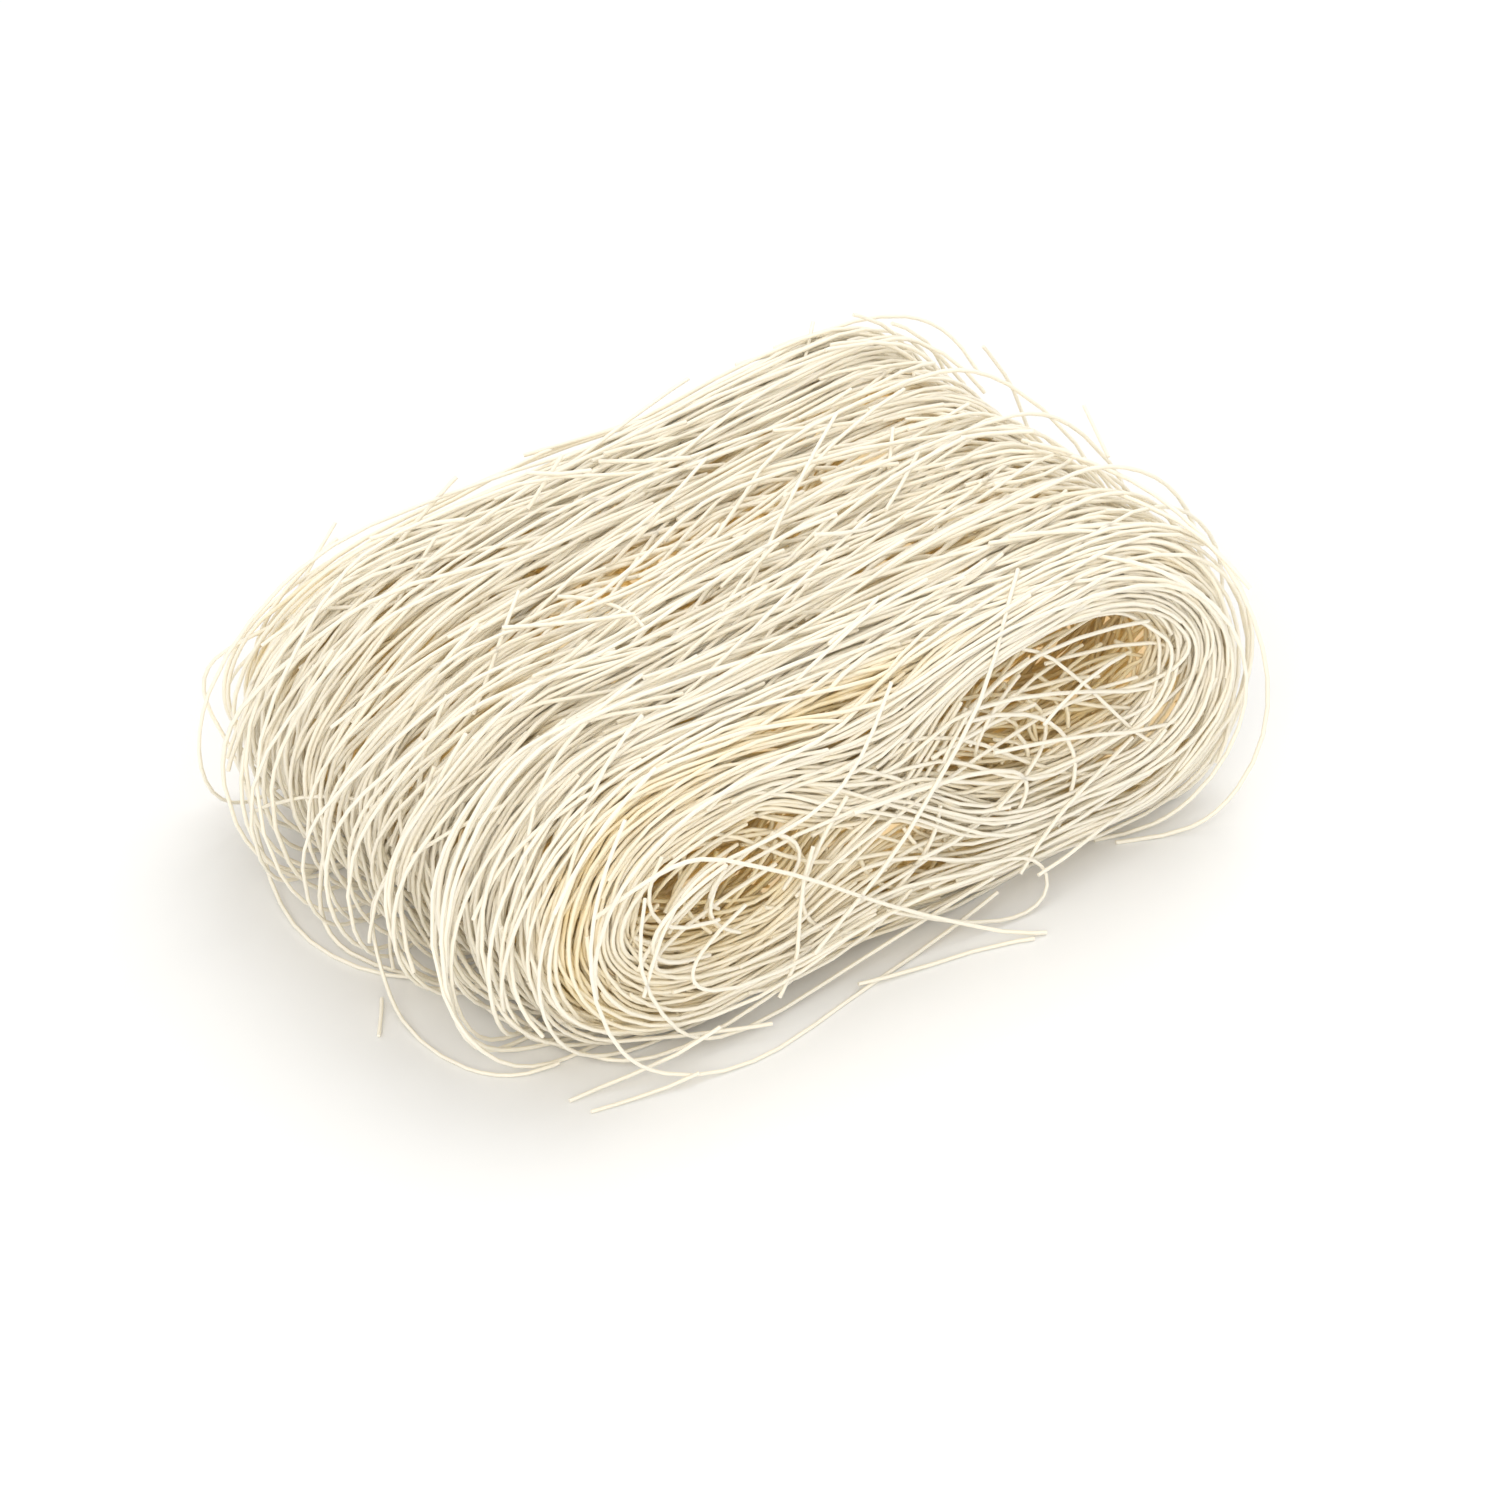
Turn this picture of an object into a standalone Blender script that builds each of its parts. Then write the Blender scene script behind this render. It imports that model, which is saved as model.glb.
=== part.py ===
"""Bundle of dried rice vermicelli: one long skein wound flat into a low block.

The strands run along X over the top, turn down round the left and right ends and
come back underneath, so each face across Y shows two open eyes, one inside each
turn. The whole bundle is one solid out to its uneven outline. The origin is under
the middle of the block, on the surface it lies on, with +Z up.
"""

import math

import bmesh
import bpy
import numpy as np
from mathutils import Matrix, Vector

# Driving dimensions, in metres
LENGTH = 0.112  # over both turns, along the strands (X)
WIDTH = 0.078  # across the winding (Y)
HEIGHT = 0.041  # over the crown (Z)

# Outline
EDGE_RADIUS = 0.011  # the outer turns slide in towards each face
EDGE_SHORTENING = 0.7  # how much of that sliding also shortens the turns
TOP_LEAN = 0.0065  # both faces lean in by this much at the top
END_DROOP = 0.0035  # the left end lies lower than the right one
RIGHT_FLARE = 0.05  # the right end is this much wider than the middle, the left narrower
FACE_CROWN = 0.0022  # the middle of each face stands proud of its rim
FACE_SPINE = 0.78  # how far towards the ends the line inside the flat loops reaches
REST_SPOT = 0.014  # half side of the spot under the middle where the strands lie pressed flat
REST_SHARE = 0.12  # the lowest points, by number, lie pressed flat too
GROOVE_DEPTH = 0.0026  # the groove between the two rolls on top
GROOVE_WIDTH = 0.0065
GROOVE_TURN = math.radians(18)  # the groove runs askew to the strands

# Relief of the strands, which lie together in clumps
CLUMP_WAVES = 26
CLUMP_LENGTHS = (0.007, 0.016)  # wavelengths across the strands
CLUMP_RUN = 5.0  # a clump is this much longer than it is wide
CLUMP_DEPTH = 0.0008
LUMP_WAVES = 12
LUMP_LENGTHS = (0.022, 0.050)
LUMP_DEPTH = 0.0011
FACE_DEPTH = 0.0006
FACE_CLUMPS = 3.5  # clumps between the rim of a face and its middle
RELIEF_SEED = 7

# Mesh density
ROUND_STEPS = 64  # around one turn, a multiple of four
STATIONS = 41  # along the winding
FACE_RINGS = 8  # from the rim of a face to its middle
EYE_STEPS = 26
EYE_SECTIONS = 8

# The eyes inside the turns: which face, middle (x, z), half sizes (x, z), depth, tilt
EYES = {
    "eye_front_left": (-1, (-0.0295, 0.0215), (0.0135, 0.0068), 0.026, 14),
    "eye_front_right": (-1, (0.0245, 0.0265), (0.0165, 0.0068), 0.028, 8),
    "eye_back_left": (1, (-0.0270, 0.0210), (0.0130, 0.0064), 0.022, 4),
    "eye_back_right": (1, (0.0285, 0.0235), (0.0140, 0.0066), 0.023, -6),
}
EYE_TAPER = 2.6  # how full an eye stays before it closes
EYE_MOUTH = 0.012  # how far a cutter starts outside its face
EYE_FLARE = 1.18  # an eye widens into the rounded rim of the face

VERMICELLI_CREAM = (0.78, 0.70, 0.52, 1.0)
VERMICELLI_ROUGHNESS = 0.55


def clear_scene():
    for obj in list(bpy.data.objects):
        bpy.data.objects.remove(obj, do_unlink=True)


def wave_field(seed, count, lengths, run):
    """Seeded waves whose crests run along the strands, each run times its own width."""
    rng = np.random.default_rng(seed)
    waves = []
    for _ in range(count):
        length = rng.uniform(*lengths)
        along = rng.normal(0, 1) / (run * length)
        across = rng.choice((-1, 1)) / length
        waves.append((2 * math.pi * along, 2 * math.pi * across, rng.uniform(0, 2 * math.pi)))
    return waves


def wave_height(waves, along, across):
    """Height of the field at one place, about -1 to 1."""
    total = sum(math.sin(a * along + c * across + phase) for a, c, phase in waves)
    return total / math.sqrt(2 * len(waves))


CLUMPS = wave_field(RELIEF_SEED, CLUMP_WAVES, CLUMP_LENGTHS, CLUMP_RUN)
LUMPS = wave_field(RELIEF_SEED + 1, LUMP_WAVES, LUMP_LENGTHS, 1.0)


def flat_loop(share, half_length, radius):
    """Point and outward normal on a flattened loop: two straight runs and two round ends.

    share runs from 0 to 1, from the middle of the top over the right end. The point is
    (x, z) from the loop's middle.
    """
    straight = half_length - radius
    quarter = straight + math.pi * radius / 2
    way = (share % 1.0) * 4 * quarter
    side, rest = divmod(way, 2 * quarter)
    if rest < straight:
        point, normal = Vector((rest, radius)), Vector((0, 1))
    elif rest < straight + math.pi * radius:
        angle = math.pi / 2 - (rest - straight) / radius
        normal = Vector((math.cos(angle), math.sin(angle)))
        point = Vector((straight, 0)) + normal * radius
    else:
        point = Vector((2 * straight + math.pi * radius - rest, -radius))
        normal = Vector((0, -1))
    turn = -1 if side else 1
    return point * turn, normal * turn


def edge_inset(y):
    """How far the outline has moved in at station y, on a quarter round."""
    over = max(0.0, abs(y) - (WIDTH / 2 - EDGE_RADIUS))
    return EDGE_RADIUS - math.sqrt(EDGE_RADIUS**2 - min(over, EDGE_RADIUS * 0.96) ** 2)


def groove(x, y):
    """Depth of the groove that runs between the two rolls, fading before both ends."""
    off = y * math.cos(GROOVE_TURN) - x * math.sin(GROOVE_TURN)
    fade = math.exp(-((x / (0.36 * LENGTH)) ** 4))
    return GROOVE_DEPTH * fade * math.exp(-((off / GROOVE_WIDTH) ** 2))


def outline_point(share, y):
    """A point of the bundle's outer skin."""
    inset = edge_inset(y)
    half_length = LENGTH / 2 - inset * EDGE_SHORTENING
    radius = (HEIGHT - inset) / 2
    (x, z), normal = flat_loop(share, half_length, radius)
    way = share * (4 * half_length + 2 * (math.pi - 2) * radius)
    relief = CLUMP_DEPTH * wave_height(CLUMPS, way, y) + LUMP_DEPTH * wave_height(LUMPS, way, y)
    x += normal.x * relief
    z += normal.y * relief + radius
    high = max(0.0, z / HEIGHT)
    z -= groove(x, y) * high**4
    z -= END_DROOP * high * (0.5 - x / LENGTH) ** 2
    lean = TOP_LEAN * high**2 * (2 * y / WIDTH) ** 3
    return Vector((x, (y - lean) * (1 + RIGHT_FLARE * 2 * x / LENGTH), z))


def face_ring(rim, side, scale):
    """The rim drawn in towards the line inside the loops, which lie in clumps around it."""
    level = (min(p.z for p in rim) + max(p.z for p in rim)) / 2
    reach = FACE_SPINE * max(p.x for p in rim) - HEIGHT / 3
    lumps = FACE_DEPTH * math.sin(2 * math.pi * FACE_CLUMPS * scale)
    ring = []
    for point in rim:
        spine = Vector((max(-reach, min(reach, point.x)), point.y, level))
        at = spine + (point - spine) * scale
        at.y += side * (FACE_CROWN * (1 - scale**2) + lumps * wave_height(LUMPS, 2 * at.x, 3 * at.z))
        ring.append(at)
    return ring


def fitted(rings):
    """All the rings moved and scaled so that the bundle is exactly LENGTH by WIDTH by HEIGHT."""
    points = np.array([list(p) for ring in rings for p in ring])
    rest_level = np.quantile(points[:, 2], REST_SHARE)
    spot = (abs(points[:, :2]) < REST_SPOT).all(axis=1) & (points[:, 2] < HEIGHT / 4)
    points[spot, 2] = rest_level
    points[:, 2] = np.maximum(points[:, 2], rest_level)
    low, high = points.min(0), points.max(0)
    points -= [(low[0] + high[0]) / 2, (low[1] + high[1]) / 2, low[2]]
    points *= np.array([LENGTH, WIDTH, HEIGHT]) / (high - low)
    places = np.split(points, len(rings))
    return [[Vector(p) for p in place] for place in places]


def bridge(bm, first, second):
    """Four-sided faces between two rings of as many points."""
    for k, corner in enumerate(first):
        after = (k + 1) % len(first)
        bm.faces.new((corner, first[after], second[after], second[k]))


def close_flat(bm, ring):
    """Close a flat loop across its own middle line, from its left tip to its right one."""
    count = len(ring)
    left, right = -count // 4, count // 4
    for k in range(left, right):
        over = (ring[k], ring[k + 1])
        under = (ring[(count // 2 - k - 1) % count], ring[(count // 2 - k) % count])
        bm.faces.new(dict.fromkeys((*over, *under)))


def closed_skin(name, rings, close_ends):
    """A closed mesh through equal rings, with both ends closed by close_ends."""
    bm = bmesh.new()
    made = [[bm.verts.new(p) for p in ring] for ring in rings]
    for first, second in zip(made, made[1:]):
        bridge(bm, first, second)
    close_ends(bm, made[0])
    close_ends(bm, made[-1])
    bmesh.ops.recalc_face_normals(bm, faces=bm.faces)
    mesh = bpy.data.meshes.new(name)
    bm.to_mesh(mesh)
    bm.free()
    obj = bpy.data.objects.new(name, mesh)
    bpy.context.scene.collection.objects.link(obj)
    return obj


def bundle_rings():
    """Rings from the middle of the front face, over the skin, to the middle of the back face."""
    shares = [k / ROUND_STEPS for k in range(ROUND_STEPS)]
    skin = []
    for j in range(STATIONS):
        y = WIDTH / 2 * math.sin(math.pi / 2 * (2 * j / (STATIONS - 1) - 1))
        skin.append([outline_point(share, y) for share in shares])
    scales = [1 - k / FACE_RINGS for k in range(1, FACE_RINGS)]
    front = [face_ring(skin[0], -1, s) for s in reversed(scales)]
    back = [face_ring(skin[-1], 1, s) for s in scales]
    return fitted([*front, *skin, *back])


def eye_rings(side, middle, half, depth, tilt):
    """Sections of one eye, from outside its face to its closed end."""
    turn = Matrix.Rotation(math.radians(tilt), 2)
    sections = [(-EYE_MOUTH, EYE_FLARE)]
    for k in range(EYE_SECTIONS):
        inward = math.sin(k / EYE_SECTIONS * math.pi / 2)
        sections.append((depth * inward, (1 - inward**EYE_TAPER) ** (1 / EYE_TAPER)))
    rings = []
    for inward, size in sections:
        ring = []
        for n in range(EYE_STEPS):
            angle = 2 * math.pi * n / EYE_STEPS
            flat = turn @ Vector((half[0] * math.cos(angle), half[1] * math.sin(angle))) * size
            ring.append(Vector((middle[0] + flat.x, side * (WIDTH / 2 - inward), middle[1] + flat.y)))
        rings.append(ring)
    return rings


def cut_eyes(bundle):
    for name, sizes in EYES.items():
        cutter = closed_skin(name + "_cutter", eye_rings(*sizes), lambda bm, ring: bm.faces.new(ring))
        cutter.hide_render = True
        cutter.display_type = "WIRE"
        cut = bundle.modifiers.new(name, "BOOLEAN")
        cut.operation = "DIFFERENCE"
        cut.solver = "EXACT"
        cut.object = cutter


def vermicelli_material():
    material = bpy.data.materials.new("dried_vermicelli")
    material.use_nodes = True
    shader = material.node_tree.nodes["Principled BSDF"]
    shader.inputs["Base Color"].default_value = VERMICELLI_CREAM
    shader.inputs["Roughness"].default_value = VERMICELLI_ROUGHNESS
    shader.inputs["Metallic"].default_value = 0.0
    return material


def main():
    clear_scene()
    bundle = closed_skin("vermicelli_bundle", bundle_rings(), close_flat)
    bundle.data.materials.append(vermicelli_material())
    bundle.data.shade_smooth()
    cut_eyes(bundle)


main()
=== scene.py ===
"""Bundle of dried rice vermicelli, strand by strand.

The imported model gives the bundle's box and place. Every strand here is a line of points
laid on the turns of one flat skein: over the top, down round an end, back underneath.
The lines are laid in hanks that stay together for a few turns, then they are pushed
apart, so that they lie beside each other. Geometry Nodes sweep them into strands.
All lengths in the strand functions are in millimetres and turn into metres at the sweep.
"""

import math

import bmesh
import bpy
import numpy as np
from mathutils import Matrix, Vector


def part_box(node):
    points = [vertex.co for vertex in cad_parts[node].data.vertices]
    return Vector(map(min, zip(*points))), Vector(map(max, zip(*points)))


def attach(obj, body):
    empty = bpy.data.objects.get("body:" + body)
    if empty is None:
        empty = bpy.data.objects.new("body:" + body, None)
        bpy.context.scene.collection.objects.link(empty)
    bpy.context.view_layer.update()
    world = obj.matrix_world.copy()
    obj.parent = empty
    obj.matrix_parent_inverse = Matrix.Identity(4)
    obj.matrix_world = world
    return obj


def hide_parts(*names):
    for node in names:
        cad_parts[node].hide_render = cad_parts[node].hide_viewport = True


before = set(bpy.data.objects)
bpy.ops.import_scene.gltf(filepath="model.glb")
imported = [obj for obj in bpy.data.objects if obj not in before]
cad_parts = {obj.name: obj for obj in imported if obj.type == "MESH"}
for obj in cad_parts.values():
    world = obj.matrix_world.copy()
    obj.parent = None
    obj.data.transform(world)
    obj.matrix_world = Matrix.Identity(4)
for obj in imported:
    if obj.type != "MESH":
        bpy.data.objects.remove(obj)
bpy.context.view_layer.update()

MM = 0.001

# The bundle's box, in millimetres
BUNDLE_LOW, BUNDLE_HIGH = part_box("vermicelli_bundle")
LENGTH, WIDTH, HEIGHT = ((Vector(BUNDLE_HIGH) - Vector(BUNDLE_LOW)) / MM)
HALF_LENGTH, HALF_WIDTH = LENGTH / 2, WIDTH / 2

STRAND = 0.62  # thickness of one strand
LOOSE_STRAND = 0.56  # those that lie loose have dried a little thinner
STEP = 2.1  # distance between the points of a strand
MOST_SKIPPED = 3  # points in a row that a straight stretch can spare, less one
STRAIGHT = math.cos(math.radians(7))  # a stretch that turns less is straight enough
SEED = 11

# One turn of the skein: an outer loop, and an inner one round the two eyes. An eye reaches
# from its tip to its end along X, with its middle at a level and a half height
EYE_LEFT = {"tip": -43.5, "end": -14.0, "level": 22.5, "half": 7.5}
EYE_RIGHT = {"tip": 41.5, "end": 0.0, "level": 28.5, "half": 8.6}
BACK_EYE_LEFT = {"tip": -42.0, "end": -13.0, "level": 21.0, "half": 6.4}
BACK_EYE_RIGHT = {"tip": 42.0, "end": 14.0, "level": 23.5, "half": 6.6}
FRONT_DEPTH = 24.0  # the front eyes have turned into the back ones this far in
PINCH = 0.6  # half height left open between the eyes
LIP = 11.0  # the turns roll over into each face with this radius
LIP_ROUND = 0.97  # share of the quarter round that the turns roll over, so none stands upright
LIP_OUTER, LIP_INNER = 0.5, 0.22  # shares of the layer lost at a face, outside and round an eye
BEYOND_EYES = 40.0  # from here out, each turn is as free to roll over as round an eye
LIP_DROP = 5.0  # the outline has sunk in this far at a face
FREE_STANDING = -0.45  # layer up to which a loose strand stands off as it likes
STANDING_SPARE = 0.3  # and this much of a layer more at the very most
FACE_SPARE = 0.4  # strands may lie this far proud of the faces
TOP_LEAN = 6.5  # both faces lean in by this much at the top
END_DROOP = 3.5  # the left end lies lower than the right one
RIGHT_FLARE = 0.05  # the right end is this much wider than the middle
TOP_SKEW = 0.12  # the strands on top run this much aside towards the back right corner
TURN_LENGTH = 235.0  # of one strand once round, halfway through the layer
PROUD = 0.035  # a clump stands out by this share of the layer

# The hanks
HANKS = 28
HANK_STRANDS = 12
HANK_TURNS = 2.3
HANK_WIDE, HANK_DEEP = 5.0, 0.22  # half width across, and half depth as a share of the layer

FACE_LAYER = 3.0  # the front face is covered this deep by looser strands than the turns
FACE_STRANDS, BACK_STRANDS = 44, 50  # over the front face and over the back one

BOWS = 54  # lying loosely across the whole front face
NESTS = (14, 17)  # across the mouths of the left and the right front eye

# Strands that cross over from the top of a turn to its underside
BAND = 44  # from over the left eye to under the right one, along the front face
CROSSERS = 26  # near either face

# Single strands that have come away from the skein
LOOSE = 200  # standing off the outside in long arcs
WISPS = 150  # short, with one end standing out
SPILLED = 34  # slid off the bottom of the left end
BITS = 24  # short broken bits on top

TURN_PIECES = 4  # the turns are split into this many pieces, each light enough
SETTLING_ROUNDS = 12

# The core, and the colours
CORE_LAYERS = (0.42, 0.80)  # of the layer of strands, outside and round the eyes
CORE_INSETS = (4.4, 6.5)  # from the front face and from the back one
PAINTED_GLOW = (1.0, 0.85, 0.57)  # painted glow of the core, standing in for the light that has come through the strands round it
PAINTED_GLOW_STRENGTH = 0.42
CORE_STATIONS, CORE_STEPS = 24, 96  # across the skein and round a turn
CORE_STREAK = 14.0  # a streak is this much longer than it is wide
SHADE_GOLD_START, SHADE_GOLD_DEPTH = 0.5, 3.1  # painted golden shade: from where, and over how far in, it grows full
FACE_SHADE_GOLD_START, FACE_SHADE_GOLD_DEPTH = -0.8, 5.0  # and the painted golden shade behind a face, where more light comes in
CREAM = (0.97, 0.90, 0.755)
CLOUDY = (0.975, 0.92, 0.80)
CLOUD_LENGTH = 4.0  # of the cloudy stretches along a strand
# Painted shade: the gold that deep strands are painted, standing in for light that has gone through many
# strands
SHADE_GOLD = (0.97, 0.76, 0.39)

# The camera, seen from the middle of the bundle
CAMERA_AZIMUTH, CAMERA_ELEVATION = -37.4, 36.0  # degrees
CAMERA_DISTANCE = 0.7
CAMERA_LENS = 125.0
CAMERA_TARGET = Vector((7.5, 7.0, 0)) * MM

# The lights: azimuth, elevation, distance, size, power, colour
LIGHTS = {
    "key": (115, 60, 0.9, 0.6, 2.8, (1.0, 0.98, 0.95)),
    "fill": (-48, 34, 1.0, 0.7, 3.5, (1.0, 0.95, 0.86)),
}
SKY, SKY_STRENGTH = (1.0, 0.99, 0.97), 0.83
FLOOR_SIZE = 4.0  # half its side
FLOOR_COLOUR = (0.86, 0.87, 0.88)

WANDER_SHARES = (0.7, 1.0, 1.5, 2.3)  # lengths of the waves in one line
WANDER_HEIGHT = 2.1  # usual height of those waves together


def wander(rng, count, length, amount):
    """A smooth random line of count values that turns about every length along a strand."""
    along = np.arange(count) * STEP
    line = np.zeros(count)
    for share in WANDER_SHARES:
        wave = length * share * rng.uniform(0.85, 1.2)
        line += share * np.sin(2 * math.pi * along / wave + rng.uniform(0, 2 * math.pi))
    return line * amount / WANDER_HEIGHT


def eased_step(value):
    """0 up to 0, 1 from 1 on, and smooth between."""
    value = np.clip(value, 0, 1)
    return value * value * (3 - 2 * value)


def blurred(values, rounds):
    """A closed line of values, each mixed with its neighbours."""
    for _ in range(rounds):
        values = (np.roll(values, 1, axis=0) + 2 * values + np.roll(values, -1, axis=0)) / 4
    return values


def outer_loop(count):
    """The outline of a turn, from the middle of the top over the right end."""
    radius = HEIGHT / 2
    straight = HALF_LENGTH - radius
    quarter = straight + math.pi * radius / 2
    way = np.arange(count) / count * 4 * quarter
    rest = way % (2 * quarter)
    angle = np.clip((rest - straight) / radius, 0, math.pi)
    x = np.where(rest < straight, rest, np.maximum(0, straight) + radius * np.sin(angle))
    late = rest > straight + math.pi * radius
    x = np.where(late, 2 * straight + math.pi * radius - rest, x)
    z = radius * np.cos(angle)
    turn = np.where(way >= 2 * quarter, -1, 1)
    return np.column_stack((x * turn, z * turn + radius))


def eye_half_height(x, eye):
    """Half the open height of an eye at x, nothing outside it."""
    middle = (eye["tip"] + eye["end"]) / 2
    reach = abs(eye["tip"] - eye["end"]) / 2
    off = np.clip(abs(x - middle) / reach, 0, 1)
    return eye["half"] * np.sqrt(1 - off**2.4)


def inner_loop(outer, left, right):
    """The loop round both eyes of a face, point for point inside the outer one."""
    share = outer[:, 0] / HALF_LENGTH
    middle = (right["tip"] + left["tip"]) / 2
    x = middle + share * (right["tip"] - left["tip"]) / 2
    blend = np.clip((x + 30) / 55, 0, 1)
    level = left["level"] * (1 - blend) + right["level"] * blend
    half = np.maximum(eye_half_height(x, left), eye_half_height(x, right))
    side = np.clip((outer[:, 1] - HEIGHT / 2) / (HEIGHT * 0.3), -1, 1)
    return np.column_stack((x, level + side * np.maximum(half, PINCH)))


LOOP_POINTS = 720
OUTER = outer_loop(LOOP_POINTS)
INNER_FRONT = blurred(inner_loop(OUTER, EYE_LEFT, EYE_RIGHT), 12)
INNER_BACK = blurred(inner_loop(OUTER, BACK_EYE_LEFT, BACK_EYE_RIGHT), 12)
OUTER = blurred(OUTER, 30)


def on_loop(loop, turn):
    """Places on a closed loop; turn counts whole turns."""
    at = (turn % 1.0) * LOOP_POINTS
    first = at.astype(int) % LOOP_POINTS
    part = (at - np.floor(at))[:, None]
    return loop[first] * (1 - part) + loop[(first + 1) % LOOP_POINTS] * part


def on_inner_loop(turn, y):
    """Places on the loop round the eyes, which changes from the front face to the back one."""
    front = eased_step((FRONT_DEPTH - HALF_WIDTH - y) / FRONT_DEPTH * 1.3)[:, None]
    return on_loop(INNER_FRONT, turn) * front + on_loop(INNER_BACK, turn) * (1 - front)


# Clumps: strands gather along lines that run nearly along them
def clump_waves(rng):
    """Waves across the strands, each with its own length, strength, skew, run and phase."""
    waves = []
    for length, gather in ((3.6, 0.2), (5.5, 0.28), (8.0, 0.2), (14.0, 0.12)):
        for _ in range(2):
            skew = rng.normal(0, 0.2)
            waves.append((length, gather, skew, rng.normal(0, 1) / 80, rng.uniform(0, 2 * math.pi)))
    return waves


def gathered(y, way, waves):
    """How far the clumps draw a strand aside, and how proud of the layer it lies."""
    aside = np.zeros_like(y)
    proud = np.zeros_like(y)
    for length, gather, skew, along, phase in waves:
        angle = 2 * math.pi * ((y + skew * way) / length + along * way) + phase
        aside += gather * length / (2 * math.pi) * np.sin(angle)
        proud -= gather * np.cos(angle)
    return aside, proud


# Gaps on top, where the rolls part: place (x, y), half length, half width, how far they open
GAPS = (
    ((-36, -13), 9, 2.2, 2.1),
    ((-27, 4), 8, 2.2, 1.7),
    ((-15, -8), 10, 2.5, 2.7),
    ((-14, 7), 9, 2.2, 2.3),
    ((-3, -16), 8, 2.0, 1.6),
    ((7, 4), 10, 2.5, 2.6),
    ((25, 5), 11, 2.6, 2.6),
    ((38, 2), 8, 2.2, 1.6),
)


def parted(x, y, z):
    """How far a strand on top moves aside for the gaps."""
    aside = np.zeros_like(y)
    high = eased_step((z - HEIGHT * 0.72) / (HEIGHT * 0.16))
    for (at_x, at_y), half_length, half_width, opening in GAPS:
        off = (y - at_y - 0.1 * (x - at_x)) / half_width
        near = np.exp(-(((x - at_x) / half_length) ** 2)) * np.exp(-((off / 2.2) ** 2))
        aside += opening * near * np.tanh(off * 1.5)
    return aside * high


def skewed(x, y, z):
    """How far a strand on top runs aside: behind the front roll they all lie askew."""
    share = y / HALF_WIDTH
    behind = eased_step(share + 0.9) * np.clip(1 - share**2, 0, 1)
    return TOP_SKEW * x * behind * eased_step((z - HEIGHT / 2) / (HEIGHT / 2))


def held_in(layer):
    """Layers, drawn back smoothly where a strand would stand off too far."""
    beyond = np.maximum(FREE_STANDING - layer, 0)
    return layer + beyond - STANDING_SPARE * np.tanh(beyond / STANDING_SPARE)


def lip_share(y):
    """0 away from the faces, rising on a quarter round to nearly 1 at a face."""
    over = np.clip((abs(y) - (HALF_WIDTH + FACE_SPARE - LIP)) / LIP, 0, 1)
    return 1 - np.sqrt(1 - (LIP_ROUND * over) ** 2)


def laid(turn, y, layer, waves, crossed=0.0):
    """Points of a strand from its turns, its place across and its layer, 0 outside to 1 inside.

    crossed counts how often the strand has gone over to the other side of its turn.
    """
    way = (turn % 1.0) * TURN_LENGTH
    aside, proud = gathered(y, way, waves)
    y = y + aside
    face = HALF_WIDTH + FACE_SPARE
    lip = lip_share(y)
    spare = np.maximum(abs(y) - face, 0)
    y = np.sign(y) * np.minimum(abs(y), face + 0.5 * spare)
    x = on_loop(OUTER, turn)[:, 0]
    open_here = np.maximum(eye_half_height(x, EYE_LEFT), eye_half_height(x, EYE_RIGHT))
    open_here = np.maximum(open_here / EYE_LEFT["half"], abs(x) > BEYOND_EYES)
    inner = LIP_INNER * lip * np.clip(open_here, 0, 1)
    layer = held_in(layer - PROUD * proud)
    layer = (LIP_OUTER * lip + (1 - LIP_OUTER * lip - inner) * layer)[:, None]
    side = folded(crossed)[:, None] if np.ndim(crossed) else crossed
    here = on_loop(OUTER, turn) * (1 - layer) + on_inner_loop(turn, y) * layer
    there = on_loop(OUTER, 0.5 - turn) * (1 - layer) + on_inner_loop(0.5 - turn, y) * layer
    x, z = (here * (1 - side) + there * side).T
    high = np.clip(z / HEIGHT, 0, 1.2)
    z = z - END_DROOP * high * (0.5 - x / LENGTH) ** 2
    y = y + parted(x, y, z)
    y = y + skewed(x, y, z)
    y = y - TOP_LEAN * high**2 * np.clip(y / HALF_WIDTH, -1, 1) ** 3
    y = y * (1 + RIGHT_FLARE * x / HALF_LENGTH)
    return np.column_stack((x, y, z))


def folded(value):
    """Any number folded smoothly into 0 to 1."""
    return 0.5 - 0.5 * np.cos(math.pi * value)


def reflected(y):
    """Places across, sent back where they pass a face."""
    limit = HALF_WIDTH - FACE_LAYER / 2
    middle = FACE_LAYER / 2
    return middle + limit - abs((y - middle + limit) % (4 * limit) - 2 * limit)


def hank_strands(rng, waves):
    """All the strands of the skein, hank by hank."""
    strands = []
    count = int(HANK_TURNS * TURN_LENGTH / STEP)
    for hank in range(HANKS):
        across = HALF_WIDTH * (2 * (hank + 0.5) / HANKS - 1) + rng.normal(0, 2.0)
        start = rng.uniform(0, 1)
        hank_y = across + wander(rng, count, 170, 7.0)
        hank_layer = rng.uniform(0, 2) + wander(rng, count, 140, 0.55)
        for _ in range(HANK_STRANDS):
            length = int(count * rng.uniform(0.75, 1.0))
            turn = start + rng.uniform(-0.4, 0.4) + np.arange(length) * STEP / TURN_LENGTH
            angle = rng.uniform(0, 2 * math.pi) + wander(rng, length, 160, 1.6)
            reach = math.sqrt(rng.uniform(0.02, 1.3))
            y = hank_y[:length] + HANK_WIDE * reach * np.cos(angle)
            y = y + wander(rng, length, 105, 4.3) + wander(rng, length, 45, 0.55)
            layer = hank_layer[:length] + 2 * HANK_DEEP * reach * np.sin(angle)
            layer = layer + wander(rng, length, 80, 0.16)
            strands.append(laid(turn, reflected(y), folded(layer), waves))
    return strands


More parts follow.
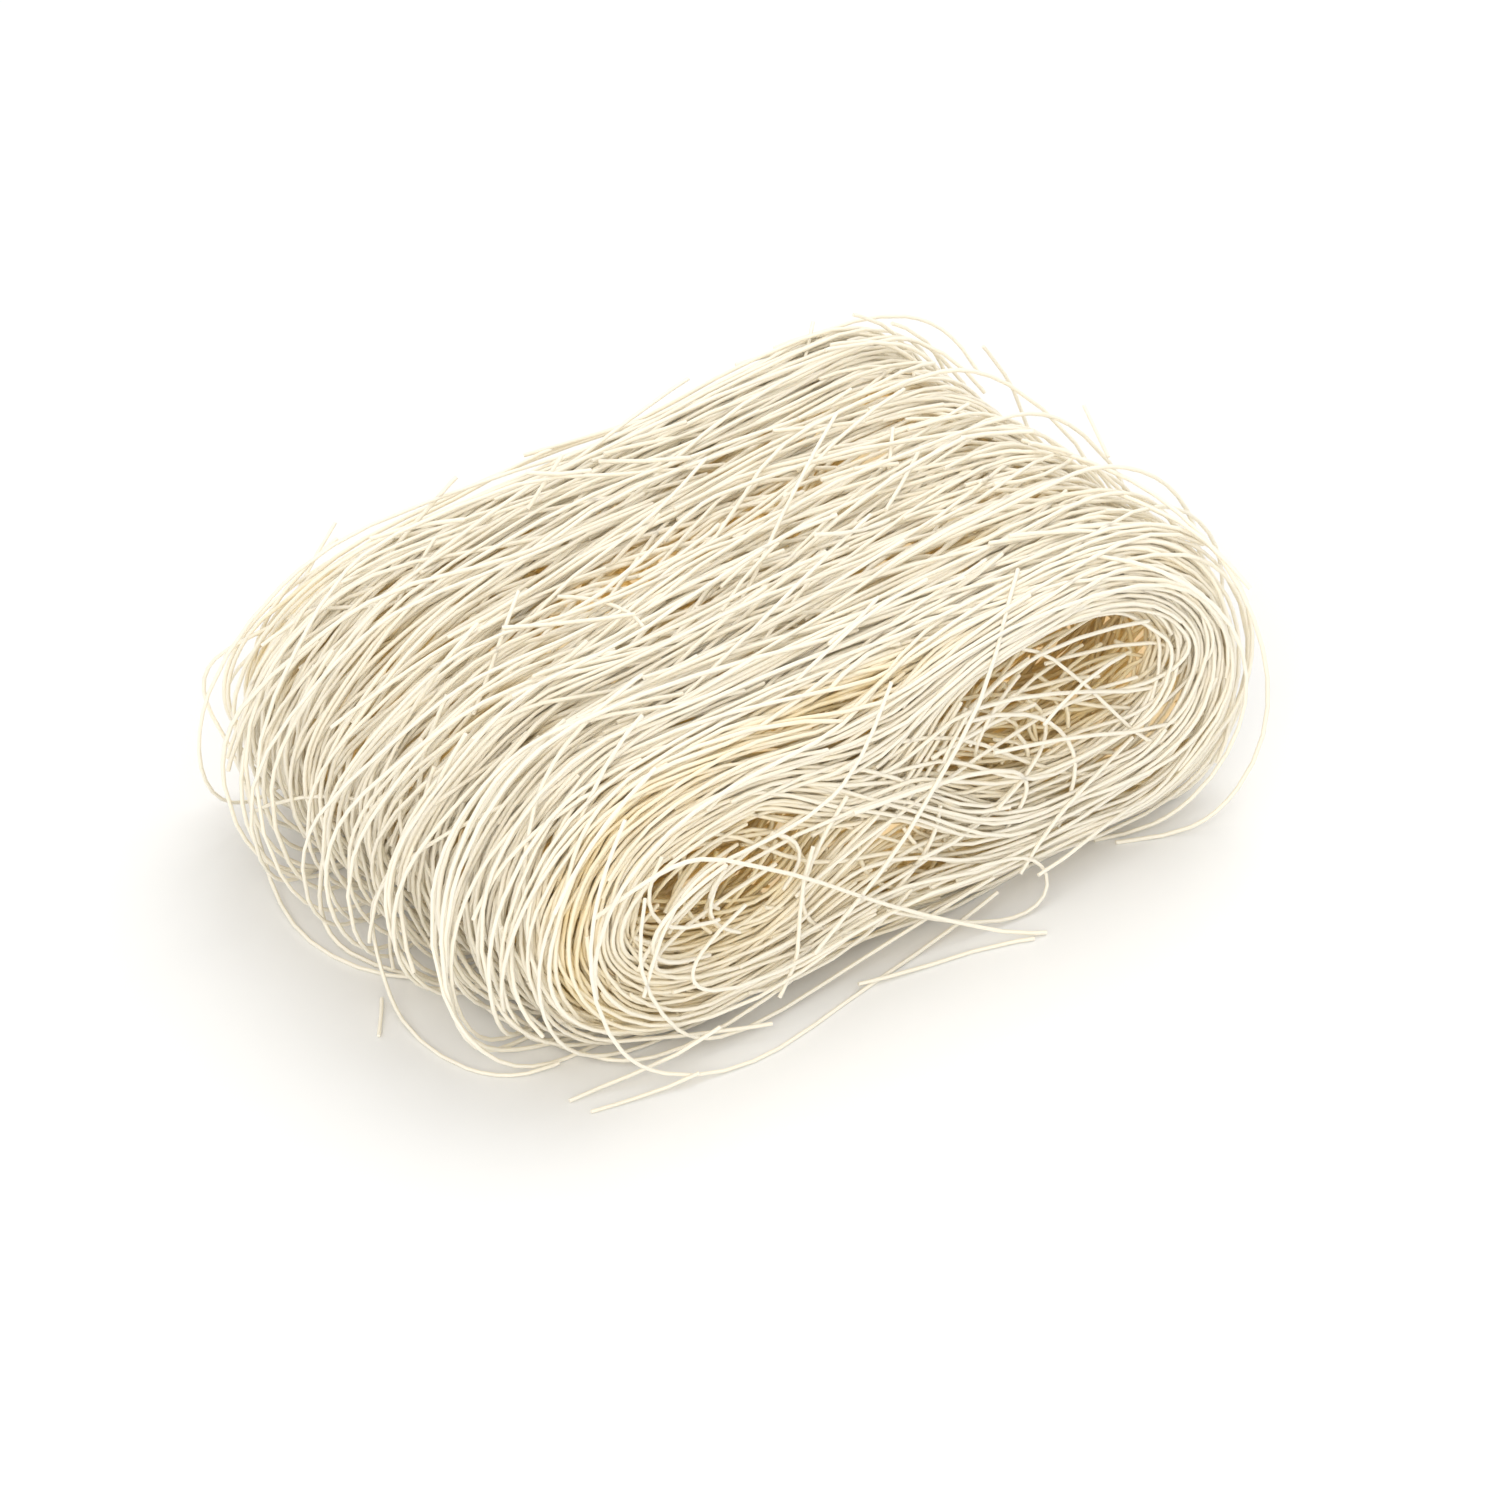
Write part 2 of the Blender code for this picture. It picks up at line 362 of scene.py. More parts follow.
def face_strands(rng, waves):
    """Strands lying loosely over both faces, askew to the turns behind them."""
    strands = []
    for k in range(FACE_STRANDS + BACK_STRANDS):
        face = -1 if k < FACE_STRANDS else 1
        length = int(rng.uniform(0.3, 1.0) * TURN_LENGTH / STEP)
        share = np.linspace(-1, 1, length)
        turn = rng.uniform(0, 1) + share * length * STEP / TURN_LENGTH / 2
        slant = rng.uniform(0, 2) + rng.normal(0, 0.4) * share
        layer = folded(slant + wander(rng, length, 90, 0.25))
        y = face * (HALF_WIDTH - rng.uniform(-0.8, FACE_LAYER + 0.5)) + wander(rng, length, 90, 1.2)
        crossed = rng.choice((0, 0, 1)) * eased_step(share * rng.uniform(0.4, 1.0) + 0.5)
        strands.append(laid(turn, y, layer, waves, crossed))
    return strands


def face_bows(rng):
    """Loose bows across the whole front face, at all angles to the turns behind them."""
    strands = []
    for _ in range(BOWS):
        reach, rise = rng.uniform(12, 36), rng.uniform(6, 13)
        sweep = rng.uniform(1.0, 2.8) * rng.choice((-1, 1))
        length = max(6, int(abs(sweep) * (reach + rise) / 2 / STEP))
        angle = rng.uniform(0, 2 * math.pi) + np.linspace(0, sweep, length)
        x = rng.uniform(reach - 51, 49 - reach) + reach * np.cos(angle)
        z = rng.uniform(15, 23) + 0.06 * x + rise * np.sin(angle) + wander(rng, length, 50, 0.8)
        off = rng.uniform(-2.2, 1.3) + wander(rng, length, 60, 0.9)
        y = TOP_LEAN * (z / HEIGHT) ** 2 - HALF_WIDTH - off
        strands.append(np.column_stack((x, y, z)))
    return strands


def crossing_strands(rng, waves):
    """Strands near both faces that cross the eyes and the pinch between them."""
    strands = []
    for k in range(BAND + CROSSERS):
        length = int(rng.uniform(0.9, 1.7) * TURN_LENGTH / STEP)
        turn = rng.uniform(-0.65, -0.35) + np.arange(length) * STEP / TURN_LENGTH
        if k < BAND:
            face, deep = -1, rng.uniform(-0.8, 6) * rng.uniform(0.1, 1)
            place, run, layer = rng.normal(-2, 6), rng.uniform(50, 84), rng.uniform(0.35, 0.95)
        else:
            face, deep = rng.choice((-1, 1)), rng.uniform(1, 18)
            place, run, layer = rng.normal(-6, 9), rng.uniform(50, 90), rng.uniform(0.1, 0.9)
        crossed = np.zeros(length)
        for lap in (0, 1):
            crossed = crossed + eased_step(((turn - lap) * TURN_LENGTH - place) / run + 0.5)
        y = face * (HALF_WIDTH - deep) + wander(rng, length, 90, 1.2)
        strands.append(laid(turn, y, layer + wander(rng, length, 120, 0.2), waves, crossed))
    return strands


def loose_strands(rng, waves):
    """Single strands that stand off the outside in long arcs, some with an end sprung free."""
    strands = []
    for _ in range(LOOSE):
        length = int(rng.uniform(0.25, 1.0) * TURN_LENGTH / STEP)
        share = np.linspace(-1, 1, length)
        anywhere, on_top = rng.uniform(0, 1), rng.uniform(-0.2, 0.2)
        middle = rng.choice((0.25, 0.75, anywhere, on_top)) + rng.normal(0, 0.04)
        turn = middle + share * length * STEP / TURN_LENGTH / 2
        y = rng.uniform(-1.03, 1.03) * HALF_WIDTH + wander(rng, length, 110, 4.0)
        y = y + share * rng.normal(0, 3)
        rise = rng.uniform(0.15, 0.62) * rng.uniform(0.3, 1)
        free_end = rng.choice((-1, 0, 0, 1))
        if free_end:
            apart = eased_step((1 + free_end * share) / 2 - 0.2) * 0.8
        else:
            apart = eased_step(1 - abs(share))
        strands.append(laid(turn, y, 0.02 - rise * apart + wander(rng, length, 80, 0.03), waves))
    return strands


def wisps(rng, waves):
    """Short strands round both ends and along the back edge, with one end standing out."""
    strands = []
    for _ in range(WISPS):
        length = int(rng.uniform(14, 46) / STEP)
        share = np.linspace(0, 1, length)
        start = rng.choice((0.2, 0.3, 0.72, 0.82, 0.92)) + rng.normal(0, 0.05)
        turn = start + rng.choice((-1, 1)) * share * length * STEP / TURN_LENGTH
        y = rng.uniform(-1, 1.03) * HALF_WIDTH + rng.normal(0, 7) * share
        y = y + wander(rng, length, 60, 1.8)
        layer = 0.04 - rng.uniform(0.1, 0.68) * eased_step(share)
        strands.append(laid(turn, y, layer, waves))
    return strands


def spilled_strands(rng, waves):
    """Strands that have slid off the bottom of the left end and lie round it on the floor."""
    strands = []
    for _ in range(SPILLED):
        length = int(rng.uniform(0.3, 0.65) * TURN_LENGTH / STEP)
        share = np.linspace(-1, 1, length)
        turn = rng.normal(0.70, 0.025) + share * length * STEP / TURN_LENGTH / 2
        y = rng.uniform(-1.0, 1.05) * HALF_WIDTH + wander(rng, length, 80, 5.0)
        rise = rng.uniform(0.15, 0.85)
        apart = eased_step(1.15 - abs(share) ** 1.4)
        strands.append(laid(turn, y, 0.02 - rise * apart, waves))
    return strands


def nest_strands(rng):
    """Loose bows across the mouths of the two front eyes."""
    strands = []
    for eye, count, aside in ((EYE_LEFT, NESTS[0], (0, 0)), (EYE_RIGHT, NESTS[1], (8, -4))):
        middle, reach = (eye["tip"] + eye["end"]) / 2, abs(eye["tip"] - eye["end"]) / 2
        for _ in range(count):
            size = rng.uniform(0.45, 1.2)
            sweep = rng.uniform(1.6, 4.2) * rng.choice((-1, 1))
            length = max(5, int(abs(sweep) * size * (reach + eye["half"]) / 2 / STEP))
            angle = rng.uniform(0, 2 * math.pi) + np.linspace(0, sweep, length)
            x = middle + aside[0] + rng.normal(0, 3) + reach * size * np.cos(angle)
            z = eye["level"] + aside[1] + rng.normal(0, 1.5) + 1.1 * eye["half"] * size * np.sin(angle)
            deep = rng.uniform(1, 9) + wander(rng, length, 50, 2.0) + 2 * size * np.cos(angle)
            strands.append(np.column_stack((x, deep - HALF_WIDTH, z)))
    return strands


# Strands that stand well clear of the rest, each by the few places it passes through
STRAYS = {
    "wide_loop_left": (
        (-42, 17, 39), (-49, 31, 32), (-56, 43, 19), (-55, 35, 9), (-60, 22, 2), (-63, 9, 0), (-60, -3, 0),
        (-52, -12, 1),
    ),
    "short_loop_left": ((-40, 20, 40), (-46, 26, 35), (-51, 28, 29), (-55, 26, 20)),
    "stub_left": ((-47, 23, 40), (-51, 25, 38), (-53, 25, 32)),
    "bow_left": ((-61, 25, 9), (-60, 20, 14), (-57, 11, 19), (-56, 0, 24)),
    "hanging_left": (
        (-50, -22, 35), (-58, -16, 29), (-61, -9, 20), (-61, -4, 12), (-61, -6, 4), (-63, -14, 0),
        (-62, -25, 0), (-57, -31, 0), (-50, -32, 1),
    ),
    "floor_bit_left": ((-68, -15, 0), (-65, -12, 0), (-61, -6, 1)),
    "low_loop_left": ((-57, 8, 23), (-60, 8, 12), (-61, 8, 2), (-60, 1, 0), (-55, -9, 0), (-50, -18, 3)),
    "hook_left": ((-54, 0, 8), (-57, -1, 3), (-58, -6, 0)),
    "under_left": (
        (-57, -5, 13), (-55, -10, 5), (-53, -22, 1), (-46, -37, 1), (-34, -40, 2), (-20, -40, 5),
    ),
    "tip_left": ((-58, -39, 29), (-54, -38, 34), (-46, -36, 39), (-36, -33, 41)),
    "far_loop": ((13, 28, 40), (27, 30, 42), (41, 32, 42), (53, 31, 40), (59, 28, 36), (60, 22, 30)),
    "far_inner_loop": ((36, 28, 41), (46, 26, 42), (53, 21, 38), (57, 17, 31)),
    "far_stub": ((40, 35, 43), (36, 31, 42), (31, 27, 41)),
    "back_tip": ((-9, 38, 37), (-3, 34, 39), (6, 30, 41), (20, 27, 41)),
    "back_stub": ((-15, 25, 40), (-8, 24, 42), (2, 25, 41)),
    "spike_right": ((51, -7, 47), (51, -11, 43), (50, -16, 40)),
    "wide_loop_right": (
        (43, -3, 41), (48, -20, 42), (51, -33, 38), (53, -41, 29), (53, -45, 18), (50, -45, 7),
        (42, -43, 0), (31, -38, 0),
    ),
    "loop_right": (
        (29, -28, 41), (39, -36, 40), (47, -43, 32), (49, -45, 20), (46, -43, 8), (39, -40, 1),
        (29, -36, 0),
    ),
    "tip_right": ((45, -18, 41), (50, -32, 39), (53, -42, 32)),
    "front_sweep": (
        (-44, -37, 40), (-52, -41, 33), (-54, -42, 20), (-48, -42, 5), (-38, -45, 0), (-29, -46, 0),
        (-13, -43, 0), (2, -41, 1), (13, -41, 4),
    ),
    "front_inner_sweep": (
        (-44, -40, 30), (-46, -41, 18), (-39, -41, 4), (-29, -41, 1), (-13, -40, 2), (12, -41, 7),
    ),
    "curl_front": (
        (-9, -41, 10), (5, -42, 2), (14, -44, 0), (19, -43, 2), (17, -41, 7), (9, -41, 9), (-2, -40, 9),
    ),
    "floor_tip_front": ((-57, -38, 0), (-49, -39, 1), (-42, -42, 3), (-34, -44, 7)),
    "floor_stub_front": ((-56, -41, 0), (-47, -43, 0), (-38, -45, 2)),
    "across_front": (
        (24, -28, 43), (16, -34, 39), (8, -39, 32), (1, -40, 25), (-7, -41, 17), (-21, -41, 7),
    ),
    "bow_over_eye": (
        (-51, -36, 24), (-46, -40, 30), (-38, -41, 32), (-30, -41, 27), (-21, -41, 21), (-11, -41, 13),
        (1, -43, 5), (11, -47, 0), (15, -49, 0),
    ),
    "arch_over_eye": (
        (-46, -41, 12), (-43, -41, 22), (-36, -40, 28), (-26, -39, 27), (-14, -39, 29), (-8, -38, 35),
        (-1, -34, 40),
    ),
    "bow_in_eye": ((-17, -39, 25), (-21, -40, 17), (-21, -41, 8), (-26, -41, 2)),
    "bow_front": ((9, -39, 25), (24, -40, 22), (38, -40, 17), (50, -39, 15)),
    "short_bow_front": ((13, -41, 4), (19, -41, 11), (27, -40, 14), (36, -39, 18)),
    "floor_strand_front": ((-15, -42, 1), (-4, -44, 0), (7, -46, 0), (13, -49, 0)),
}


def through(places):
    """A smooth line through a few places, with points a step apart."""
    places = np.array(places, float)
    before, after = 2 * places[0] - places[1], 2 * places[-1] - places[-2]
    known = np.vstack((before, places, after))
    share = np.linspace(0, 1, 40, endpoint=False)[:, None]
    pieces = []
    for first, second, third, fourth in zip(known, known[1:], known[2:], known[3:]):
        bend = 2 * first - 5 * second + 4 * third - fourth
        twist = 3 * second - first - 3 * third + fourth
        pieces.append(second + (third - first) * share / 2 + bend * share**2 / 2 + twist * share**3 / 2)
    line = np.vstack((*pieces, places[-1:]))
    way = np.concatenate(([0], np.cumsum(np.linalg.norm(np.diff(line, axis=0), axis=1))))
    evenly = np.linspace(0, way[-1], max(4, round(way[-1] / STEP) + 1))
    return np.column_stack([np.interp(evenly, way, line[:, axis]) for axis in range(3)])


def broken_bits(rng, strands):
    """Short bits lying at all angles on the strands that form the top."""
    cell = 1.5
    reach = 90
    size = int(2 * reach / cell)
    points = np.concatenate(strands)
    spot = ((points[:, :2] + reach) / cell).astype(int)
    heights = np.zeros((size, size))
    np.maximum.at(heights, (spot[:, 0], spot[:, 1]), points[:, 2])
    bits = []
    for _ in range(BITS):
        length = max(4, int(rng.uniform(7, 20) / STEP))
        heading = rng.normal(0.1, 0.4) + rng.normal(0, 0.06) * np.arange(length)
        x = np.clip(rng.normal(-8, 24), -44, 30) + np.cumsum(np.cos(heading)) * STEP
        y = rng.uniform(-0.75, 0.8) * HALF_WIDTH + np.cumsum(np.sin(heading)) * STEP
        spot = ((np.column_stack((x, y)) + reach) / cell).astype(int)
        under = heights[spot[:, 0], spot[:, 1]]
        low, high = np.polyfit(np.arange(length), under, 1)
        z = low * np.arange(length) + high
        z += np.quantile(under - z, 0.8) + STRAND * 0.6
        z += rng.uniform(0, 1.5) * np.linspace(0, 1, length) ** 2
        bits.append(np.column_stack((x, y, z)))
    return bits


# Pushing strands apart
def near_pairs(points, reach):
    """Pairs of points closer than about reach, found in a grid of cells that size."""
    cell = np.floor(points / reach).astype(np.int64)
    cell -= cell.min(axis=0) - 1
    size = cell.max(axis=0) + 2
    weights = np.array([1, size[0], size[0] * size[1]])
    key = cell @ weights
    order = np.argsort(key, kind="stable")
    ranked = key[order]
    firsts, seconds = [], []
    steps = [(i, j, k) for i in (-1, 0, 1) for j in (-1, 0, 1) for k in (-1, 0, 1)]
    for step in steps:
        aim = key + np.array(step) @ weights
        low = np.searchsorted(ranked, aim, "left")
        count = np.searchsorted(ranked, aim, "right") - low
        first = np.repeat(np.arange(len(points)), count)
        within = np.arange(len(first)) - np.repeat(np.cumsum(count) - count, count)
        firsts.append(first)
        seconds.append(order[np.repeat(low, count) + within])
    return np.concatenate(firsts), np.concatenate(seconds)


def settled(strands, rounds, gap=STRAND):
    """The strands pushed apart until they lie beside each other, none below the floor."""
    counts = [len(s) for s in strands]
    ends = np.cumsum(counts)[:-1]
    owner = np.repeat(np.arange(len(strands)), counts)
    points = np.concatenate(strands)
    for step in range(rounds):
        along = np.concatenate([np.gradient(s, axis=0) for s in np.split(points, ends)])
        along /= np.linalg.norm(along, axis=1)[:, None] + 1e-9
        first, second = near_pairs(points, STEP * 0.62)
        apart = owner[first] != owner[second]
        first, second = first[apart], second[apart]
        offset = points[first] - points[second]
        run = np.einsum("ij,ij->i", offset, along[second])
        offset -= run[:, None] * along[second]
        distance = np.linalg.norm(offset, axis=1)
        close = (distance < gap) & (abs(run) < STEP * 0.6) & (distance > 1e-6)
        first, second, offset, distance = first[close], second[close], offset[close], distance[close]
        push = offset * ((gap - distance) / distance * 0.4)[:, None]
        move = np.zeros_like(points)
        np.add.at(move, first, push)
        np.add.at(move, second, -push)
        size = np.linalg.norm(move, axis=1)
        move *= np.minimum(1, 0.35 / (size + 1e-9))[:, None]
        move = np.concatenate([eased(eased(eased(m))) for m in np.split(move, ends)])
        points = points + move
        if step % 3 == 2:
            points = np.concatenate([eased(s) for s in np.split(points, ends)])
        points[:, 2] = np.maximum(points[:, 2], STRAND / 2)
    points = np.concatenate([eased(eased(s)) for s in np.split(points, ends)])
    return np.split(points, ends)


def eased(values):
    """An open line of values, each mixed with its neighbours."""
    padded = np.concatenate((values[:1], values, values[-1:]))
    return (padded[:-2] + 2 * padded[1:-1] + padded[2:]) / 4


def thinned(strand):
    """A strand without the points that its straighter stretches can spare."""
    steps = np.diff(strand, axis=0)
    steps /= np.linalg.norm(steps, axis=1)[:, None] + 1e-9
    kept = [0]
    for k in range(1, len(strand) - 1):
        if k - kept[-1] >= MOST_SKIPPED or steps[kept[-1]] @ steps[k] < STRAIGHT:
            kept.append(k)
    return strand[[*kept, len(strand) - 1]]


# The sweep, by Geometry Nodes
def strand_tree(name, material):
    """Sweep every line of a mesh into a strand with closed ends."""
    tree = bpy.data.node_groups.new(name, "GeometryNodeTree")
    face = tree.interface
    face.new_socket("Lines", in_out="INPUT", socket_type="NodeSocketGeometry")
    inputs = {
        "Thickness": (STRAND * MM, "NodeSocketFloat"),
        "Unevenness": (0.08, "NodeSocketFloat"),
        "Sides": (6, "NodeSocketInt"),
        "Seed": (3, "NodeSocketInt"),
    }
    for label, (value, kind) in inputs.items():
        socket = face.new_socket(label, in_out="INPUT", socket_type=kind)
        socket.default_value = value
    face.new_socket("Strands", in_out="OUTPUT", socket_type="NodeSocketGeometry")
    nodes, links = tree.nodes, tree.links
    given = nodes.new("NodeGroupInput")
    curve = nodes.new("GeometryNodeMeshToCurve")
    links.new(given.outputs["Lines"], curve.inputs["Mesh"])
    # Each strand has its own thickness, a little more or less than the rest
    strand = nodes.new("GeometryNodeInputNamedAttribute")
    strand.data_type = "INT"
    strand.inputs["Name"].default_value = "strand"
    spread = nodes.new("FunctionNodeRandomValue")
    spread.data_type = "FLOAT"
    links.new(strand.outputs["Attribute"], spread.inputs["ID"])
    links.new(given.outputs["Seed"], spread.inputs["Seed"])
    for limit, operation in (("Min", "SUBTRACT"), ("Max", "ADD")):
        factor = nodes.new("ShaderNodeMath")
        factor.operation = operation
        factor.inputs[0].default_value = 1.0
        links.new(given.outputs["Unevenness"], factor.inputs[1])
        links.new(factor.outputs[0], spread.inputs[limit])
    radius = nodes.new("GeometryNodeSetCurveRadius")
    links.new(curve.outputs["Curve"], radius.inputs["Curve"])
    links.new(spread.outputs["Value"], radius.inputs["Radius"])
    half = nodes.new("ShaderNodeMath")
    half.operation = "MULTIPLY"
    half.inputs[1].default_value = 0.5
    links.new(given.outputs["Thickness"], half.inputs[0])
    ring = nodes.new("GeometryNodeCurvePrimitiveCircle")
    links.new(given.outputs["Sides"], ring.inputs["Resolution"])
    links.new(half.outputs[0], ring.inputs["Radius"])
    sweep = nodes.new("GeometryNodeCurveToMesh")
    links.new(radius.outputs["Curve"], sweep.inputs["Curve"])
    links.new(ring.outputs["Curve"], sweep.inputs["Profile Curve"])
    sweep.inputs["Fill Caps"].default_value = True
    if "Scale" in sweep.inputs:
        reading = nodes.new("GeometryNodeInputRadius")
        links.new(reading.outputs["Radius"], sweep.inputs["Scale"])
    smooth = nodes.new("GeometryNodeSetShadeSmooth")
    links.new(sweep.outputs["Mesh"], smooth.inputs["Geometry"])
    real = nodes.new("GeometryNodeRealizeInstances")
    links.new(smooth.outputs["Geometry"], real.inputs["Geometry"])
    paint = nodes.new("GeometryNodeSetMaterial")
    paint.inputs["Material"].default_value = material
    links.new(real.outputs["Geometry"], paint.inputs["Geometry"])
    result = nodes.new("NodeGroupOutput")
    links.new(paint.outputs["Geometry"], result.inputs["Strands"])
    return tree


def line_object(name, strands, first_number):
    """A mesh of bare lines, one for each strand, with what the materials read."""
    strands = [thinned(strand) for strand in strands]
    points = np.concatenate(strands) * MM
    edges, start = [], 0
    for strand in strands:
        edges.extend((start + k, start + k + 1) for k in range(len(strand) - 1))
        start += len(strand)
    mesh = bpy.data.meshes.new(name)
    mesh.from_pydata(points.tolist(), edges, [])
    number = np.concatenate([np.full(len(s), first_number + k) for k, s in enumerate(strands)])
    mesh.attributes.new("strand", "INT", "POINT").data.foreach_set("value", number.astype(np.int32))
    # Painted shade: each point is painted more golden the deeper it lies
    shade_depth = np.clip(painted_shade_amount(np.concatenate(strands)), 0, 1)
    mesh.attributes.new("shade_depth", "FLOAT", "POINT").data.foreach_set("value", shade_depth.astype(np.float32))
    obj = bpy.data.objects.new(name, mesh)
    bpy.context.scene.collection.objects.link(obj)
    return obj


def painted_shade_amount(points):
    """Painted shade: how deep a point lies below the bundle's outline, 0 outside, 1 where the painted
    golden shade is full.
    """
    x, y, z = points.T
    radius = HEIGHT / 2
    level = z + END_DROOP * np.clip(z / HEIGHT, 0, 1) * (0.5 - x / LENGTH) ** 2 - radius
    inside = radius - np.hypot(np.maximum(abs(x) - (HALF_LENGTH - radius), 0), level)
    inside -= LIP_DROP * lip_share(y)
    faces = HALF_WIDTH - TOP_LEAN * np.clip(z / HEIGHT, 0, 1) ** 2 - abs(y)
    inside, faces = (inside - SHADE_GOLD_START) / SHADE_GOLD_DEPTH, (faces - FACE_SHADE_GOLD_START) / FACE_SHADE_GOLD_DEPTH
    return np.minimum(inside, faces)


def swept(name, strands, material, sizes, first_number=0):
    """The strands of one piece as a plain mesh."""
    source = line_object(name + "_lines", strands, first_number)
    tree = strand_tree(name + "_sweep", material)
    sweep = source.modifiers.new("sweep", "NODES")
    sweep.node_group = tree
    for item in tree.interface.items_tree:
        if item.item_type == "SOCKET" and item.in_out == "INPUT" and item.name in sizes:
            sweep[item.identifier] = sizes[item.name]
    depsgraph = bpy.context.evaluated_depsgraph_get()
    mesh = bpy.data.meshes.new_from_object(source.evaluated_get(depsgraph), depsgraph=depsgraph)
    mesh.name = name
    piece = bpy.data.objects.new(name, mesh)
    bpy.context.scene.collection.objects.link(piece)
    source.modifiers.remove(sweep)
    bpy.data.objects.remove(source, do_unlink=True)
    return piece


# Material
def vermicelli_material(name):
    """Dried rice starch, pale and a little clear, with golden painted shade deeper in, where light has
    gone through many strands.
    """
    material = bpy.data.materials.new(name)
    material.use_nodes = True
    nodes, links = material.node_tree.nodes, material.node_tree.links
    shader = nodes["Principled BSDF"]
    # Painted shade: cream turns to gold the deeper the strand lies
    shade_depth = nodes.new("ShaderNodeAttribute")
    shade_depth.attribute_name = "shade_depth"
    painted_shade_tone = nodes.new("ShaderNodeMix")
    painted_shade_tone.data_type = "RGBA"
    painted_shade_tone.inputs["A"].default_value = (*CREAM, 1)
    painted_shade_tone.inputs["B"].default_value = (*SHADE_GOLD, 1)
    links.new(shade_depth.outputs["Fac"], painted_shade_tone.inputs["Factor"])
    # Cloudy and clear stretches along each strand
    place = nodes.new("ShaderNodeTexCoord")
    cloud = nodes.new("ShaderNodeTexNoise")
    cloud.inputs["Scale"].default_value = 1 / (CLOUD_LENGTH * MM)
    cloud.inputs["Detail"].default_value = 2.0
    links.new(place.outputs["Object"], cloud.inputs["Vector"])
    shade = nodes.new("ShaderNodeMapRange")
    shade.inputs["From Min"].default_value = 0.3
    shade.inputs["From Max"].default_value = 0.7
    shade.inputs["To Min"].default_value = 0.0
    shade.inputs["To Max"].default_value = 0.35
    links.new(cloud.outputs["Fac"], shade.inputs["Value"])
    clouded = nodes.new("ShaderNodeMix")
    clouded.data_type = "RGBA"
    clouded.inputs["B"].default_value = (*CLOUDY, 1)
    links.new(shade.outputs["Result"], clouded.inputs["Factor"])
    links.new(painted_shade_tone.outputs["Result"], clouded.inputs["A"])
    links.new(clouded.outputs["Result"], shader.inputs["Base Color"])
    gloss = nodes.new("ShaderNodeMapRange")
    gloss.inputs["To Min"].default_value = 0.38
    gloss.inputs["To Max"].default_value = 0.62
    links.new(cloud.outputs["Fac"], gloss.inputs["Value"])
    links.new(gloss.outputs["Result"], shader.inputs["Roughness"])
    # The strands are faintly rough to the touch
    grain = nodes.new("ShaderNodeBump")
    grain.inputs["Strength"].default_value = 0.25
    grain.inputs["Distance"].default_value = STRAND * MM / 8
    links.new(cloud.outputs["Fac"], grain.inputs["Height"])
    links.new(grain.outputs["Normal"], shader.inputs["Normal"])
    shader.inputs["Specular IOR Level"].default_value = 0.35
    shader.inputs["Subsurface Weight"].default_value = 0.4
    shader.inputs["Subsurface Radius"].default_value = (1.0, 1.0, 1.0)
    shader.inputs["Subsurface Scale"].default_value = 0.8 * MM
    return material


# The core, which the strands hide
def core(waves):
    """A closed ring under the strands, as the skein is where no light gets through any more."""
    flat = np.linspace(CORE_INSETS[0] - HALF_WIDTH, HALF_WIDTH - CORE_INSETS[1], CORE_STATIONS)
    deep = np.linspace(CORE_LAYERS[0], CORE_LAYERS[1], 4)
    section = [(y, CORE_LAYERS[0]) for y in flat] + [(flat[-1], layer) for layer in deep[1:-1]]
    section += [(y, CORE_LAYERS[1]) for y in flat[::-1]] + [(flat[0], layer) for layer in deep[-2:0:-1]]
    turn = np.arange(CORE_STEPS) / CORE_STEPS
    rings = [laid(turn, np.full(CORE_STEPS, y), layer, waves) for y, layer in section]
    points = np.concatenate(rings) * MM
    faces = []
    for k in range(len(rings)):
        after = (k + 1) % len(rings)
        for n in range(CORE_STEPS):
            m = (n + 1) % CORE_STEPS
            here, there = k * CORE_STEPS, after * CORE_STEPS
            faces.append([here + n, here + m, there + m, there + n])
    mesh = bpy.data.meshes.new("core")
    mesh.from_pydata(points.tolist(), [], faces)
    way = np.tile(turn, len(rings)) * TURN_LENGTH
    across = np.concatenate([ring[:, 1] for ring in rings])
    flow = np.column_stack((way / CORE_STREAK, across, np.zeros(len(way))))
    mesh.attributes.new("flow", "FLOAT_VECTOR", "POINT").data.foreach_set("vector", flow.ravel())
    bm = bmesh.new()
    bm.from_mesh(mesh)
    bmesh.ops.recalc_face_normals(bm, faces=bm.faces)
    bm.to_mesh(mesh)
    bm.free()
    mesh.shade_smooth()
    mesh.materials.append(core_material())
    piece = bpy.data.objects.new("core", mesh)
    bpy.context.scene.collection.objects.link(piece)
    return piece


